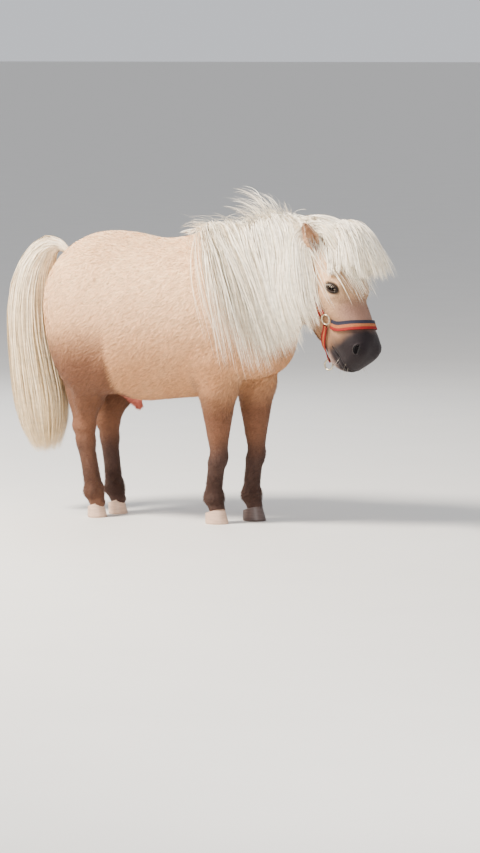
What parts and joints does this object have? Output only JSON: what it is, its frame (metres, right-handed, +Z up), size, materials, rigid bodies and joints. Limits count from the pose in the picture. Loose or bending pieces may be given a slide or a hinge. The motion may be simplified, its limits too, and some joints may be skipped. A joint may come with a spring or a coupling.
{
  "type": "shetland pony",
  "caption": "Life-size still model of a cream Shetland pony, standing with its head turned, full pale mane and tail, in a red halter.",
  "frame": {"origin": "On the floor, under the middle of the bounding box", "axes": "+X the way the trunk faces, +Y to the pony's left, +Z up from the soles of the hooves"},
  "size_m": [1.3444, 0.4674, 1.0304],
  "materials": {
    "coat": "matte",
    "leg_coat": "matte",
    "long_hair": "satin",
    "bare_skin": "satin",
    "pale_hoof": "satin",
    "dark_hoof": "satin",
    "eye": "gloss",
    "strap": "matte",
    "ring": "satin"
  },
  "bodies": {
    "root": {"torso": "coat", "neck": "coat", "head": "coat", "ear_left": "coat", "ear_right": "coat", "fore_right_leg": "leg_coat", "fore_left_leg": "leg_coat", "hind_right_leg": "leg_coat", "hind_left_leg": "leg_coat", "fore_right_hoof": "pale_hoof", "hind_right_hoof": "pale_hoof", "hind_left_hoof": "pale_hoof", "fore_left_hoof": "dark_hoof", "mane": "long_hair", "forelock": "long_hair", "tail": "long_hair", "sheath": "bare_skin", "eye_left": "eye", "eye_right": "eye", "halter_noseband": "strap", "halter_cheek_left": "strap", "halter_cheek_right": "strap", "halter_chin_left": "strap", "halter_chin_right": "strap", "halter_crown": "strap", "halter_side_ring_left": "ring", "halter_side_ring_right": "ring", "halter_chin_ring": "ring"}
  },
  "joints": []
}
